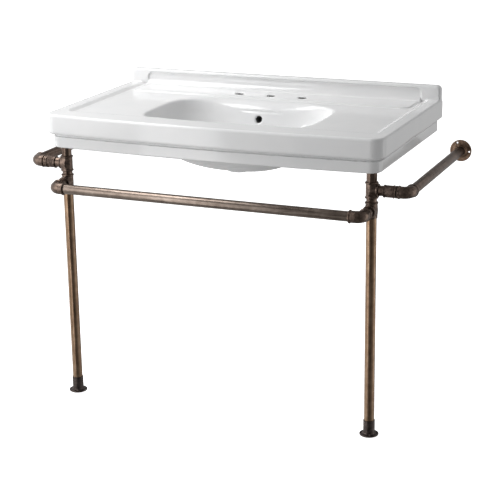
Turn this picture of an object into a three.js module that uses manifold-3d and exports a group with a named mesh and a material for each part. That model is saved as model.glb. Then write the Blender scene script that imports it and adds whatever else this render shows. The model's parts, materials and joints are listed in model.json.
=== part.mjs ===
// A two-leg console sink: a glazed ceramic console basin carried in front by a stand of bronze pipe and
// fittings, with a towel bar across the legs and an arm from each leg back to the wall.
// Millimetres, +Z up, front towards -Y. The wall is the plane Y = 0 and the origin is on the basin's flat
// back, on the centre line, at MOUNT_HEIGHT above the floor.
import * as THREE from "three";
import { mergeVertices } from "three/addons/utils/BufferGeometryUtils.js";
import Module from "manifold-3d";

const wasm = await Module();
wasm.setup();

// ---------- Driving dimensions ----------
const MOUNT_HEIGHT = 830; // floor to the origin, the middle of the basin's flat back
const GAP = 0.3; // clearance wherever two pieces meet
const ROUND = 20; // facets round a pipe
const BORE_ROUND = 10; // facets round a hidden passage
const CUT_PAST = 10; // how far a cutting solid runs past the face that it opens

// Basin
const BASIN_WIDTH = 1016;
const BASIN_CORNER_DEPTH = 580; // wall to the front face beside the corners
const BASIN_BOW = 20; // how far the front face bows out at the centre
const CORNER_RADIUS = 38;
const APRON_BOTTOM = 760;
const BAND_BOTTOM = 800; // underside of the deep upper band of the fascia
const RIM_TOP = 858;
const SPLASH_TOP = 900;
const APRON_SETBACK = 14; // the apron under the band stands back from it
const SKIRT = 12; // thickness of the apron's wall
const BACK_WALL = 16;
const DECK_UNDERSIDE = 832;
const DECK_TOP = 850;
const SIDE_RIM = 38; // width of the raised rim at the sides
const FRONT_RIM = 66; // width of the raised rim at the front, beside the corners
const RIM_SLOPE = 12; // the slope from the rim down to the deck
const HOLLOW_CORNER = 16;
const BAND_EDGE = 9; // rounding of the band's edges
const APRON_EDGE = 5; // rounding of the apron's edges
const BACK_HALF_WIDTH = 480; // of the flat wall across the basin's back
const SPLASH_THICKNESS = 22;
const SPLASH_SIDE = 2; // how far the splashback stands in from the basin's sides
const PANEL_DEPTH = 8; // of the panel sunk in the splashback's face
const SPLASH_EDGE = 4; // rounding of the splashback's edges
const SPLASH_CORNER = 12;
const PANEL_HALF_WIDTH = 447;
const PANEL_TOP = 890; // the underside of the splashback's bead
const COVE_HEAD = 888;
const COVE_HEAD_FROM_WALL = 14.6;
const COVE_FOOT_FROM_WALL = 34;
const COVE_SAG = 6; // how far the cove's curve hangs back from a straight slope
const LEDGE_HALF_WIDTH = 444;
const LEDGE_FROM_WALL = 138; // wall to the tap ledge's front edge
const LEDGE_CORNER = 30;
const LEDGE_RISE = 3.5;
const SEAM = 4; // how far pieces of one casting run into each other
const TAP_SPACING = 203.2 / 2; // holes for an eight-inch widespread tap
const TAP_HOLE_RADIUS = 13;
const TAP_FROM_WALL = 95;

// Bowl
const BOWL_HALF_WIDTH = 262;
const BOWL_HALF_DEPTH = 178;
const BOWL_FROM_WALL = 342;
const BOWL_WALL = 12;
const BOWL_FLOOR = 698;
const BELLY_BOTTOM = 684; // underside of the bowl
const BOWL_DISH = 0.45; // share of the bowl's rise that is a shallow dish; the rest rises at its edge
const BOWL_SQUARENESS = [2.5, 4]; // superellipse exponent in plan, at the bowl's middle and at its edge
const BOWL_SEGMENTS = 48;
const DRAIN_RADIUS = 23;
const DRAIN_SEAT_RADIUS = 32;
const DRAIN_BOSS_RADIUS = 38;
const DRAIN_SEAT = 699;
const DRAIN_BOTTOM = 681;
const OVERFLOW_HEIGHT = 800;
const OVERFLOW_RADIUS = 11;
const OVERFLOW_ROUND = 16; // facets round the overflow's mouth
const OVERFLOW_WALL = 7; // thickness of the wall round the overflow's passage
const OVERFLOW_HALF_WIDTH = 18;
const OVERFLOW_DEPTH = 14; // of the passage behind the bowl
const OVERFLOW_RUN_HEIGHT = 6; // of the passage under the bowl

// Stand
const LEG_X = 463;
const LEG_FROM_WALL = 532;
const PIPE = 14.5; // outer radius of the leg pipe
const PIPE_BORE = 12;
const SLIM_PIPE = 14; // outer radius of the towel bar and wall arms
const SLIM_BORE = 11.5;
const FITTING = 16.4; // outer radius of a fitting's body
const BEAD = 18.4; // outer radius of the bead round a fitting's mouth
const BEAD_WIDTH = 4.5;
const PASSAGE = 11; // radius of a fitting's inner passage
const SOCKET_DEPTH = 8;
const BEVEL = 1.3; // slope at the edges of a bead or collar
const LOWER_TEE_HEIGHT = 652.5;
const UPPER_TEE_HEIGHT = 707.5;
const TEE_HALF_RUN = 22.5;
const BAR_BRANCH = 27; // leg axis to the mouth of the lower tee's forward branch
const ARM_BRANCH = 20.5; // leg axis to the mouth of the upper tee's outward branch
const BAR_FORWARD = 83; // leg axis to the towel bar's axis
const ELBOW_LEG = 30; // elbow centre to its mouth
const BAR_ELBOW_LEG = 35; // the same, on the side that takes the towel bar
const ARM_X = 567; // centre line to a wall arm's axis
const NUT_START = 498;
const NUT_END = 523;
const NUT_RADIUS = 16.6;
const NUT_SHOULDER = 2.4; // width of the plain ring at the nut's inner end
const SPIGOT = 11; // how far the union's tail reaches back inside the nut
const TAIL_COLLAR_END = 534;
const TAIL_COLLAR_RADIUS = 18;

// Feet, wall flanges and leg tops
const FOOT_RADIUS = 27;
const FOOT_PLATE = 5;
const FOOT_COLLAR_RADIUS = 16.4;
const FOOT_COLLAR_TOP = 45;
const FOOT_HOLE_CIRCLE = 21.6;
const LEG_PIPE_START = 12;
const WALL_FLANGE_RADIUS = 32.5;
const WALL_FLANGE_EDGE = 4;
const WALL_FLANGE_SHOULDER = 19.5; // radius where the flange's face meets its hub
const WALL_FLANGE_HUB_RADIUS = 17;
const WALL_FLANGE_HUB = 15; // how far the hub stands out from the wall
const WALL_HOLE_CIRCLE = 25.5;
const SCREW_HOLE_RADIUS = 2.6;
const CAP_TOP = 828.4;
const CAP_HEIGHT = 16;
const CAP_END = 4; // thickness of the cap's closed end
const PAD_THICKNESS = 3;

// ---------- Materials ----------
const ceramic = { color: 0xf2f2f0, roughness: 0.08, metalness: 0 };
const bronze = { color: 0x7a5a44, roughness: 0.38, metalness: 1 };
const darkBronze = { color: 0x4d3f37, roughness: 0.42, metalness: 1 };
const rubber = { color: 0x1c1c1c, roughness: 0.9, metalness: 0 };

// ---------- Solids ----------
function toSolid(geometry) {
  const bare = new THREE.BufferGeometry();
  const source = geometry.index ? geometry.toNonIndexed() : geometry;
  bare.setAttribute("position", source.getAttribute("position"));
  const merged = mergeVertices(bare, 1e-3);
  return new wasm.Manifold(
    new wasm.Mesh({
      numProp: 3,
      vertProperties: merged.attributes.position.array,
      triVerts: new Uint32Array(merged.index.array),
    }),
  );
}

function toGeometry(solid) {
  const mesh = solid.getMesh();
  const geometry = new THREE.BufferGeometry();
  geometry.setAttribute("position", new THREE.BufferAttribute(new Float32Array(mesh.vertProperties), 3));
  geometry.setIndex(new THREE.BufferAttribute(new Uint32Array(mesh.triVerts), 1));
  return geometry;
}

// Adds up some geometries and takes others away from the sum.
function combine(added, removed = []) {
  let solid = toSolid(added[0]);
  for (const geometry of added.slice(1)) {
    solid = solid.add(toSolid(geometry));
  }
  for (const geometry of removed) {
    solid = solid.subtract(toSolid(geometry));
  }
  return toGeometry(solid);
}

// A solid turned from [radius, height] pairs about +Z.
function turned(profile, segments = ROUND) {
  const points = profile.map(([radius, height]) => new THREE.Vector2(radius, height));
  return new THREE.LatheGeometry(points, segments).rotateX(Math.PI / 2);
}

function rod(radius, from, to, segments = ROUND) {
  return turned([[0, from], [radius, from], [radius, to], [0, to]], segments);
}

function pipe(outer, inner, from, to) {
  return turned([[inner, from], [outer, from], [outer, to], [inner, to], [inner, from]]);
}

// Turns a geometry built along +Z so that it points along the axis named.
function pointing(geometry, axis) {
  const turns = {
    "+Z": (g) => g,
    "-Z": (g) => g.rotateX(Math.PI),
    "+X": (g) => g.rotateY(Math.PI / 2),
    "-X": (g) => g.rotateY(-Math.PI / 2),
    "+Y": (g) => g.rotateX(-Math.PI / 2),
    "-Y": (g) => g.rotateX(Math.PI / 2),
  };
  return turns[axis](geometry);
}

// ---------- Basin ----------
// The plan outline of the basin, set in by a distance all round and cut off at a line before the wall.
function basinOutline(inset, fromWall = inset) {
  const side = BASIN_WIDTH / 2 - inset;
  const front = -BASIN_CORNER_DEPTH + inset;
  const radius = CORNER_RADIUS - inset / 2;
  const shape = new THREE.Shape();
  shape.moveTo(side, -fromWall);
  shape.lineTo(-side, -fromWall);
  shape.lineTo(-side, front + radius);
  shape.absarc(-side + radius, front + radius, radius, Math.PI, 1.5 * Math.PI, false);
  shape.quadraticCurveTo(0, front - 2 * BASIN_BOW, side - radius, front);
  shape.absarc(side - radius, front + radius, radius, 1.5 * Math.PI, 2 * Math.PI, false);
  shape.closePath();
  return shape;
}

// A slab between two heights whose upper and lower edges are rounded by edge.
function roundedSlab(outline, bottom, top, edge) {
  const slab = new THREE.ExtrudeGeometry(outline, {
    depth: top - bottom - 2 * edge,
    bevelSize: edge,
    bevelThickness: edge,
    bevelSegments: 3,
    curveSegments: 10,
  });
  return slab.translate(0, 0, bottom + edge);
}

function box(x0, x1, y0, y1, z0, z1) {
  const block = new THREE.BoxGeometry(x1 - x0, y1 - y0, z1 - z0);
  return block.translate((x0 + x1) / 2, (y0 + y1) / 2, (z0 + z1) / 2);
}

// The hollow in the top inside the raised rim, with a sloped edge.
function deckHollow() {
  const side = BASIN_WIDTH / 2 - SIDE_RIM - RIM_SLOPE;
  const front = -BASIN_CORNER_DEPTH + FRONT_RIM + RIM_SLOPE;
  const back = -COVE_FOOT_FROM_WALL;
  const radius = HOLLOW_CORNER;
  const shape = new THREE.Shape();
  shape.moveTo(side, back);
  shape.lineTo(-side, back);
  shape.lineTo(-side, front + radius);
  shape.absarc(-side + radius, front + radius, radius, Math.PI, 1.5 * Math.PI, false);
  shape.absarc(side - radius, front + radius, radius, 1.5 * Math.PI, 2 * Math.PI, false);
  shape.closePath();
  const rise = RIM_TOP - DECK_TOP;
  const hollow = new THREE.ExtrudeGeometry(shape, {
    depth: 2 * CUT_PAST,
    bevelSize: RIM_SLOPE,
    bevelThickness: rise,
    bevelSegments: 1,
    curveSegments: 6,
  });
  return hollow.translate(0, 0, DECK_TOP + rise);
}

// The low ledge along the back that carries the tap holes.
function tapLedge() {
  const shape = new THREE.Shape();
  const side = LEDGE_HALF_WIDTH;
  const front = -LEDGE_FROM_WALL;
  const radius = LEDGE_CORNER;
  shape.moveTo(side, -BACK_WALL - SEAM);
  shape.lineTo(-side, -BACK_WALL - SEAM);
  shape.lineTo(-side, front + radius);
  shape.absarc(-side + radius, front + radius, radius, Math.PI, 1.5 * Math.PI, false);
  shape.absarc(side - radius, front + radius, radius, 1.5 * Math.PI, 2 * Math.PI, false);
  shape.closePath();
  const ledge = new THREE.ExtrudeGeometry(shape, {
    depth: SEAM + LEDGE_RISE,
    bevelEnabled: false,
    curveSegments: 6,
  });
  return ledge.translate(0, 0, DECK_TOP - SEAM);
}

// The upright along the back, full width, with rounded upper corners.
function splashSlab() {
  const side = BASIN_WIDTH / 2 - SPLASH_SIDE - SPLASH_EDGE;
  const bottom = DECK_UNDERSIDE + SPLASH_EDGE;
  const top = SPLASH_TOP - SPLASH_EDGE;
  const radius = SPLASH_CORNER;
  const shape = new THREE.Shape();
  shape.moveTo(-side, bottom);
  shape.lineTo(side, bottom);
  shape.absarc(side - radius, top - radius, radius, 0, Math.PI / 2, false);
  shape.absarc(-side + radius, top - radius, radius, Math.PI / 2, Math.PI, false);
  shape.closePath();
  const slab = new THREE.ExtrudeGeometry(shape, {
    depth: SPLASH_THICKNESS - 2 * SPLASH_EDGE,
    bevelSize: SPLASH_EDGE,
    bevelThickness: SPLASH_EDGE,
    bevelSegments: 2,
    curveSegments: 6,
  });
  return slab.rotateX(Math.PI / 2).translate(0, -SPLASH_EDGE, 0);
}

// The panel sunk in the splashback's face, under the bead that is left along its top.
function splashPanel() {
  const side = PANEL_HALF_WIDTH;
  const radius = SPLASH_CORNER;
  const shape = new THREE.Shape();
  shape.moveTo(-side, DECK_TOP);
  shape.lineTo(side, DECK_TOP);
  shape.absarc(side - radius, PANEL_TOP - radius, radius, 0, Math.PI / 2, false);
  shape.absarc(-side + radius, PANEL_TOP - radius, radius, Math.PI / 2, Math.PI, false);
  shape.closePath();
  const panel = new THREE.ExtrudeGeometry(shape, {
    depth: PANEL_DEPTH + CUT_PAST,
    bevelEnabled: false,
    curveSegments: 6,
  });
  return panel.rotateX(Math.PI / 2).translate(0, PANEL_DEPTH - SPLASH_THICKNESS, 0);
}

// The cove that runs from the sunk panel down to the ledge.
function splashCove() {
  const back = -BACK_WALL / 2;
  const foot = DECK_TOP - SEAM;
  const middle = (COVE_HEAD + foot) / 2;
  const shape = new THREE.Shape();
  shape.moveTo(back, COVE_HEAD);
  shape.lineTo(-COVE_HEAD_FROM_WALL, COVE_HEAD);
  shape.quadraticCurveTo(-COVE_HEAD_FROM_WALL - COVE_SAG, middle, -COVE_FOOT_FROM_WALL, foot);
  shape.lineTo(back, foot);
  shape.closePath();
  const cove = new THREE.ExtrudeGeometry(shape, {
    depth: 2 * PANEL_HALF_WIDTH,
    bevelEnabled: false,
    curveSegments: 5,
  });
  const across = new THREE.Matrix4().makeBasis(
    new THREE.Vector3(0, 1, 0),
    new THREE.Vector3(0, 0, 1),
    new THREE.Vector3(1, 0, 0),
  );
  return cove.applyMatrix4(across).translate(-PANEL_HALF_WIDTH, 0, 0);
}

// A form turned from [share of the half width, height] pairs and drawn out to the bowl's squared plan.
function bowlForm(profile, halfWidth, halfDepth) {
  const form = turned(profile, BOWL_SEGMENTS);
  const position = form.getAttribute("position");
  for (let i = 0; i < position.count; i += 1) {
    const angle = Math.atan2(position.getY(i), position.getX(i));
    const share = Math.hypot(position.getX(i), position.getY(i));
    const squareness = THREE.MathUtils.lerp(...BOWL_SQUARENESS, share);
    const across = Math.abs(Math.cos(angle)) ** squareness;
    const along = Math.abs(Math.sin(angle)) ** squareness;
    const reach = share * (across + along) ** (-1 / squareness);
    position.setX(i, halfWidth * reach * Math.cos(angle));
    position.setY(i, halfDepth * reach * Math.sin(angle));
  }
  return form.translate(0, -BOWL_FROM_WALL, 0);
}

// The profile of a bowl between its floor and its edge, as [share of the half width, height] pairs.
function bowlProfile(bottom, top) {
  const curve = [0.25, 0.45, 0.6, 0.74, 0.84, 0.92, 1].map((share) => {
    const rise = BOWL_DISH * share ** 2 + (1 - BOWL_DISH) * share ** 6;
    return [share, bottom + rise * (top - bottom)];
  });
  return [[0, bottom], ...curve, [0, top]];
}

// The overflow's passage: in through the bowl's back wall, down behind the bowl and forward to the drain.
// grow widens it on every side, to make the solid that the passage is cut in.
function overflowPassage(grow) {
  const front = -BOWL_FROM_WALL + DRAIN_RADIUS / 2;
  const behindBowl = -BOWL_FROM_WALL + BOWL_HALF_DEPTH + BOWL_WALL + 2;
  const back = behindBowl + OVERFLOW_DEPTH + grow;
  const half = OVERFLOW_HALF_WIDTH + grow;
  const floor = DRAIN_BOTTOM + OVERFLOW_WALL;
  const top = OVERFLOW_HEIGHT + OVERFLOW_RADIUS;
  return [
    box(-half, half, behindBowl - grow, back, floor - grow, top + grow),
    box(-half, half, front, back, floor - grow, floor + OVERFLOW_RUN_HEIGHT + grow),
  ];
}

// The rim, deck and fascia: an open-bottomed tray under a hollow top.
function basinTray() {
  const apronOutline = basinOutline(APRON_SETBACK + APRON_EDGE, APRON_EDGE);
  const cavity = new THREE.ExtrudeGeometry(basinOutline(APRON_SETBACK + SKIRT, BACK_WALL), {
    depth: DECK_UNDERSIDE - APRON_BOTTOM + CUT_PAST,
    bevelEnabled: false,
    curveSegments: 8,
  });
  return combine(
    [
      roundedSlab(basinOutline(BAND_EDGE), BAND_BOTTOM, RIM_TOP, BAND_EDGE),
      roundedSlab(apronOutline, APRON_BOTTOM, DECK_UNDERSIDE + SEAM, APRON_EDGE),
      box(-BACK_HALF_WIDTH, BACK_HALF_WIDTH, -BACK_WALL, 0, APRON_BOTTOM, RIM_TOP),
    ],
    [cavity.translate(0, 0, APRON_BOTTOM - CUT_PAST), deckHollow()],
  );
}

function tapHole(place) {
  const hole = rod(TAP_HOLE_RADIUS, DECK_UNDERSIDE - CUT_PAST, RIM_TOP + CUT_PAST);
  return hole.translate(place * TAP_SPACING, -TAP_FROM_WALL, 0);
}

function overflowMouth() {
  const behindBowl = -BOWL_FROM_WALL + BOWL_HALF_DEPTH + BOWL_WALL;
  const length = BOWL_WALL + 4 * CUT_PAST;
  const mouth = pointing(rod(OVERFLOW_RADIUS, 0, length, OVERFLOW_ROUND), "-Y");
  return mouth.translate(0, behindBowl + CUT_PAST, OVERFLOW_HEIGHT);
}

function drainRod(radius, from, to) {
  return rod(radius, from, to).translate(0, -BOWL_FROM_WALL, 0);
}

function consoleBasin() {
  const outerWidth = BOWL_HALF_WIDTH + BOWL_WALL;
  const outerDepth = BOWL_HALF_DEPTH + BOWL_WALL;
  return combine(
    [
      basinTray(),
      combine([splashSlab()], [splashPanel()]),
      splashCove(),
      tapLedge(),
      bowlForm(bowlProfile(BELLY_BOTTOM, DECK_TOP - SEAM), outerWidth, outerDepth),
      drainRod(DRAIN_BOSS_RADIUS, DRAIN_BOTTOM, DRAIN_SEAT + SEAM),
      ...overflowPassage(OVERFLOW_WALL),
    ],
    [
      bowlForm(bowlProfile(BOWL_FLOOR, RIM_TOP + SEAM), BOWL_HALF_WIDTH, BOWL_HALF_DEPTH),
      drainRod(DRAIN_SEAT_RADIUS, DRAIN_SEAT, DRAIN_SEAT + 2 * CUT_PAST),
      drainRod(DRAIN_RADIUS, DRAIN_BOTTOM - CUT_PAST, DRAIN_SEAT + CUT_PAST),
      ...overflowPassage(0),
      overflowMouth(),
      ...[-1, 0, 1].map(tapHole),
    ],
  );
}

// ---------- Pipe fittings ----------
// The profile of the bead round a fitting's mouth, for a limb of the given length.
function beadProfile(length) {
  return [
    [BEAD, length - BEAD_WIDTH + BEVEL],
    [BEAD, length - BEVEL],
    [FITTING + 0.4, length],
  ];
}

// One limb of a fitting: a round body from the centre to its mouth, with the bead round the mouth.
function limb(length) {
  const body = [[0, -1], [FITTING, -1], [FITTING, length - BEAD_WIDTH]];
  return turned([...body, ...beadProfile(length), [0, length]]);
}

// The socket in a fitting's mouth, which takes a pipe of the given radius.
function socket(length, pipeRadius) {
  return rod(pipeRadius + GAP, length - SOCKET_DEPTH, length + 1);
}

// limbs: [axis, length, radius of the pipe it takes]
function tee(limbs) {
  const past = -PASSAGE / 2; // the passages cross a little beyond the fitting's centre
  const bodies = limbs.map(([axis, length]) => pointing(limb(length), axis));
  const passages = limbs.map(([axis, length]) => pointing(rod(PASSAGE, past, length, BORE_ROUND), axis));
  const sockets = limbs.map(([axis, length, radius]) => pointing(socket(length, radius), axis));
  return combine(bodies, [...passages, ...sockets]);
}

// A bend from the mouth on one axis to the mouth on another, through the fitting's centre.
function bend(radius, from, to, segments) {
  const path = new THREE.CurvePath();
  const centre = new THREE.Vector3();
  const share = 0.75;
  const near = from.clone().multiplyScalar(share);
  const far = to.clone().multiplyScalar(share);
  path.add(new THREE.LineCurve3(from, near));
  path.add(new THREE.QuadraticBezierCurve3(near, centre, far));
  path.add(new THREE.LineCurve3(far, to));
  const section = new THREE.Shape().absarc(0, 0, radius, 0, 2 * Math.PI, false);
  return new THREE.ExtrudeGeometry(section, { steps: 8, curveSegments: segments, extrudePath: path });
}

const AXES = {
  "+X": new THREE.Vector3(1, 0, 0),
  "-X": new THREE.Vector3(-1, 0, 0),
  "+Y": new THREE.Vector3(0, 1, 0),
  "-Y": new THREE.Vector3(0, -1, 0),
};

// mouths: two of [axis, length, radius of the pipe it takes]
function elbow(mouths) {
  const [first, second] = mouths.map(([axis, length]) => AXES[axis].clone().multiplyScalar(length - 2));
  const beads = mouths.map(([axis, length]) => {
    const start = length - BEAD_WIDTH;
    const ring = turned([[0, start], [FITTING - 0.5, start], ...beadProfile(length), [0, length]]);
    return pointing(ring, axis);
  });
  const sockets = mouths.map(([axis, length, radius]) => pointing(socket(length, radius), axis));
  return combine(
    [bend(FITTING, first, second, ROUND / 2), ...beads],
    [bend(PASSAGE, first, second, BORE_ROUND / 2), ...sockets],
  );
}

// ---------- Stand ----------
function screwHoles(angles, circle, from, to) {
  return angles.map((degrees) => {
    const angle = THREE.MathUtils.degToRad(degrees);
    const hole = rod(SCREW_HOLE_RADIUS, from, to, BORE_ROUND);
    return hole.translate(circle * Math.cos(angle), circle * Math.sin(angle), 0);
  });
}

function floorFlange() {
  const bore = PIPE + GAP;
  const body = turned([
    [0, 0],
    [FOOT_RADIUS - 0.8, 0],
    [FOOT_RADIUS, 1.2],
    [FOOT_RADIUS, 3.4],
    [FOOT_RADIUS - 1.4, FOOT_PLATE],
    [FOOT_COLLAR_RADIUS + 1.5, FOOT_PLATE + 0.6],
    [FOOT_COLLAR_RADIUS, FOOT_PLATE + 3],
    [FOOT_COLLAR_RADIUS, FOOT_COLLAR_TOP - 1],
    [FOOT_COLLAR_RADIUS - 0.7, FOOT_COLLAR_TOP],
    [bore, FOOT_COLLAR_TOP],
    [bore, FOOT_PLATE],
    [0, FOOT_PLATE],
  ]);
  return combine([body], screwHoles([0, 90, 180, 270], FOOT_HOLE_CIRCLE, -1, FOOT_PLATE + 4));
}

function wallFlange(angles) {
  const bore = SLIM_PIPE + GAP;
  const body = turned([
    [bore, 0],
    [WALL_FLANGE_RADIUS - 0.6, 0],
    [WALL_FLANGE_RADIUS, 0.8],
    [WALL_FLANGE_RADIUS, WALL_FLANGE_EDGE - 1],
    [WALL_FLANGE_RADIUS - 1.4, WALL_FLANGE_EDGE],
    [WALL_FLANGE_SHOULDER, WALL_FLANGE_EDGE + 2.6],
    [WALL_FLANGE_HUB_RADIUS + 0.4, WALL_FLANGE_EDGE + 4.6],
    [WALL_FLANGE_HUB_RADIUS, WALL_FLANGE_HUB - 1],
    [WALL_FLANGE_HUB_RADIUS - 0.8, WALL_FLANGE_HUB],
    [bore, WALL_FLANGE_HUB],
    [bore, 0],
  ]);
  return pointing(combine([body], screwHoles(angles, WALL_HOLE_CIRCLE, -1, WALL_FLANGE_HUB)), "-Y");
}

// The ring nut of the union: a plain shoulder ring, then the band that the hand grips.
function unionNut() {
  const bore = SLIM_PIPE + GAP;
  const shoulder = NUT_START + NUT_SHOULDER;
  return turned([
    [bore, NUT_START],
    [NUT_RADIUS + 0.7, NUT_START],
    [NUT_RADIUS + 1.1, NUT_START + NUT_SHOULDER / 2],
    [NUT_RADIUS + 0.7, shoulder],
    [NUT_RADIUS, shoulder + 0.5],
    [NUT_RADIUS, NUT_END - 0.5],
    [NUT_RADIUS - 0.5, NUT_END],
    [bore, NUT_END],
    [bore, NUT_START],
  ]);
}

// The union's tail: a spigot inside the nut, a broad collar, and a pipe end that goes into the elbow.
function unionTail() {
  const start = NUT_END - SPIGOT;
  const collarStart = NUT_END + GAP;
  const end = ARM_X - ELBOW_LEG + SOCKET_DEPTH - GAP;
  return turned([
    [PASSAGE, start],
    [SLIM_PIPE, start],
    [SLIM_PIPE, collarStart],
    [TAIL_COLLAR_RADIUS - 1, collarStart],
    [TAIL_COLLAR_RADIUS, collarStart + BEVEL],
    [TAIL_COLLAR_RADIUS, TAIL_COLLAR_END - BEVEL],
    [TAIL_COLLAR_RADIUS - 1, TAIL_COLLAR_END],
    [SLIM_PIPE, TAIL_COLLAR_END],
    [SLIM_PIPE, end],
    [PASSAGE, end],
    [PASSAGE, start],
  ]);
}

function topCap() {
  const bore = PIPE + GAP;
  const bottom = CAP_TOP - CAP_HEIGHT;
  return turned([
    [bore, bottom],
    [FITTING + 0.2, bottom],
    [FITTING + 0.2, CAP_TOP - 1],
    [FITTING - 0.8, CAP_TOP],
    [0, CAP_TOP],
    [0, CAP_TOP - CAP_END],
    [bore, CAP_TOP - CAP_END],
    [bore, bottom],
  ]);
}

function addPiece(group, name, geometry, finish, x = 0, y = 0, z = 0) {
  const mesh = new THREE.Mesh(geometry, new THREE.MeshStandardMaterial(finish));
  mesh.name = name;
  mesh.position.set(x, y, z);
  group.add(mesh);
}

// One side of the stand: sideName is left or right as seen from the front, side is -1 or +1.
function standSide(sideName, side) {
  const stand = new THREE.Group();
  const out = side > 0 ? "+X" : "-X";
  const inward = side > 0 ? "-X" : "+X";
  const legY = -LEG_FROM_WALL;
  const piece = (name, geometry, finish, x, y, z) =>
    addPiece(stand, `${sideName}_${name}`, geometry, finish, side * x, y, z);

  // The leg, from the floor up to the pad under the deck
  const lowerMouth = LOWER_TEE_HEIGHT - TEE_HALF_RUN;
  const neckStart = LOWER_TEE_HEIGHT + TEE_HALF_RUN - SOCKET_DEPTH + GAP;
  const neckEnd = UPPER_TEE_HEIGHT - TEE_HALF_RUN + SOCKET_DEPTH - GAP;
  const topStart = UPPER_TEE_HEIGHT + TEE_HALF_RUN - SOCKET_DEPTH + GAP;
  piece("floor_flange", floorFlange(), darkBronze, LEG_X, legY, 0);
  piece(
    "leg_pipe",
    pipe(PIPE, PIPE_BORE, LEG_PIPE_START, lowerMouth + SOCKET_DEPTH - GAP),
    bronze,
    LEG_X,
    legY,
    0,
  );
  const lowerLimbs = [
    ["-Z", TEE_HALF_RUN, PIPE],
    ["+Z", TEE_HALF_RUN, PIPE],
    ["-Y", BAR_BRANCH, SLIM_PIPE],
  ];
  piece("lower_tee", tee(lowerLimbs), darkBronze, LEG_X, legY, LOWER_TEE_HEIGHT);
  piece("neck_nipple", pipe(PIPE, PIPE_BORE, neckStart, neckEnd), bronze, LEG_X, legY, 0);
  const upperLimbs = [
    ["-Z", TEE_HALF_RUN, PIPE],
    ["+Z", TEE_HALF_RUN, PIPE],
    [out, ARM_BRANCH, SLIM_PIPE],
  ];
  piece("upper_tee", tee(upperLimbs), darkBronze, LEG_X, legY, UPPER_TEE_HEIGHT);
  piece("top_nipple", pipe(PIPE, PIPE_BORE, topStart, CAP_TOP - CAP_END - GAP), bronze, LEG_X, legY, 0);
  piece("top_cap", topCap(), darkBronze, LEG_X, legY, 0);
  const padBottom = CAP_TOP + GAP;
  piece("rubber_pad", rod(PIPE, padBottom, padBottom + PAD_THICKNESS), rubber, LEG_X, legY, 0);

  // The branch forward to the towel bar
  const barY = legY - BAR_FORWARD;
  const nippleFrom = -BAR_FORWARD + ELBOW_LEG - SOCKET_DEPTH + GAP;
  const nippleTo = -BAR_BRANCH + SOCKET_DEPTH - GAP;
  const barNipple = pointing(pipe(SLIM_PIPE, SLIM_BORE, nippleFrom, nippleTo), "+Y");
  piece("bar_nipple", barNipple, bronze, LEG_X, legY, LOWER_TEE_HEIGHT);
  const barMouths = [
    ["+Y", ELBOW_LEG, SLIM_PIPE],
    [inward, BAR_ELBOW_LEG, SLIM_PIPE],
  ];
  piece("bar_elbow", elbow(barMouths), darkBronze, LEG_X, barY, LOWER_TEE_HEIGHT);

  // The branch outward and the arm back to the wall
  const armNippleStart = LEG_X + ARM_BRANCH - SOCKET_DEPTH + GAP;
  const armNipple = pipe(SLIM_PIPE, SLIM_BORE, armNippleStart, NUT_END - SPIGOT - 1);
  piece("arm_nipple", pointing(armNipple, out), bronze, 0, legY, UPPER_TEE_HEIGHT);
  piece("union_nut", pointing(unionNut(), out), darkBronze, 0, legY, UPPER_TEE_HEIGHT);
  piece("union_tail", pointing(unionTail(), out), darkBronze, 0, legY, UPPER_TEE_HEIGHT);
  const armMouths = [
    [inward, ELBOW_LEG, SLIM_PIPE],
    ["+Y", ELBOW_LEG, SLIM_PIPE],
  ];
  piece("arm_elbow", elbow(armMouths), darkBronze, ARM_X, legY, UPPER_TEE_HEIGHT);
  const armStart = legY + ELBOW_LEG - SOCKET_DEPTH + GAP;
  const wallArm = pointing(pipe(SLIM_PIPE, SLIM_BORE, armStart, -1), "+Y");
  piece("wall_arm", wallArm, bronze, ARM_X, 0, UPPER_TEE_HEIGHT);
  const holeAngles = [115, 235, -5].map((degrees) => (side > 0 ? degrees : 180 - degrees));
  piece("wall_flange", wallFlange(holeAngles), bronze, ARM_X, 0, UPPER_TEE_HEIGHT);
  return stand;
}

function towelBar() {
  const end = LEG_X - BAR_ELBOW_LEG + SOCKET_DEPTH - GAP;
  return pointing(pipe(SLIM_PIPE, SLIM_BORE, -end, end), "+X");
}

// ---------- The whole sink ----------
const sink = new THREE.Group();
const standing = new THREE.Group();
standing.position.z = -MOUNT_HEIGHT;
addPiece(standing, "console_basin", consoleBasin(), ceramic);
standing.add(standSide("left", -1));
standing.add(standSide("right", 1));
addPiece(standing, "towel_bar", towelBar(), bronze, 0, -LEG_FROM_WALL - BAR_FORWARD, LOWER_TEE_HEIGHT);
sink.add(standing);

export default sink;
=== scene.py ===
"""A two-leg console sink: the looks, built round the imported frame.

Lengths are millimetres until a mesh is made. X is to the right, the sink faces -Y, the wall is Y = 0, and
heights are counted from the floor, which lies at Z = FLOOR in the frame.
"""

import json
import math

import bpy
import numpy as np
from mathutils import Matrix, Vector

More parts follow.
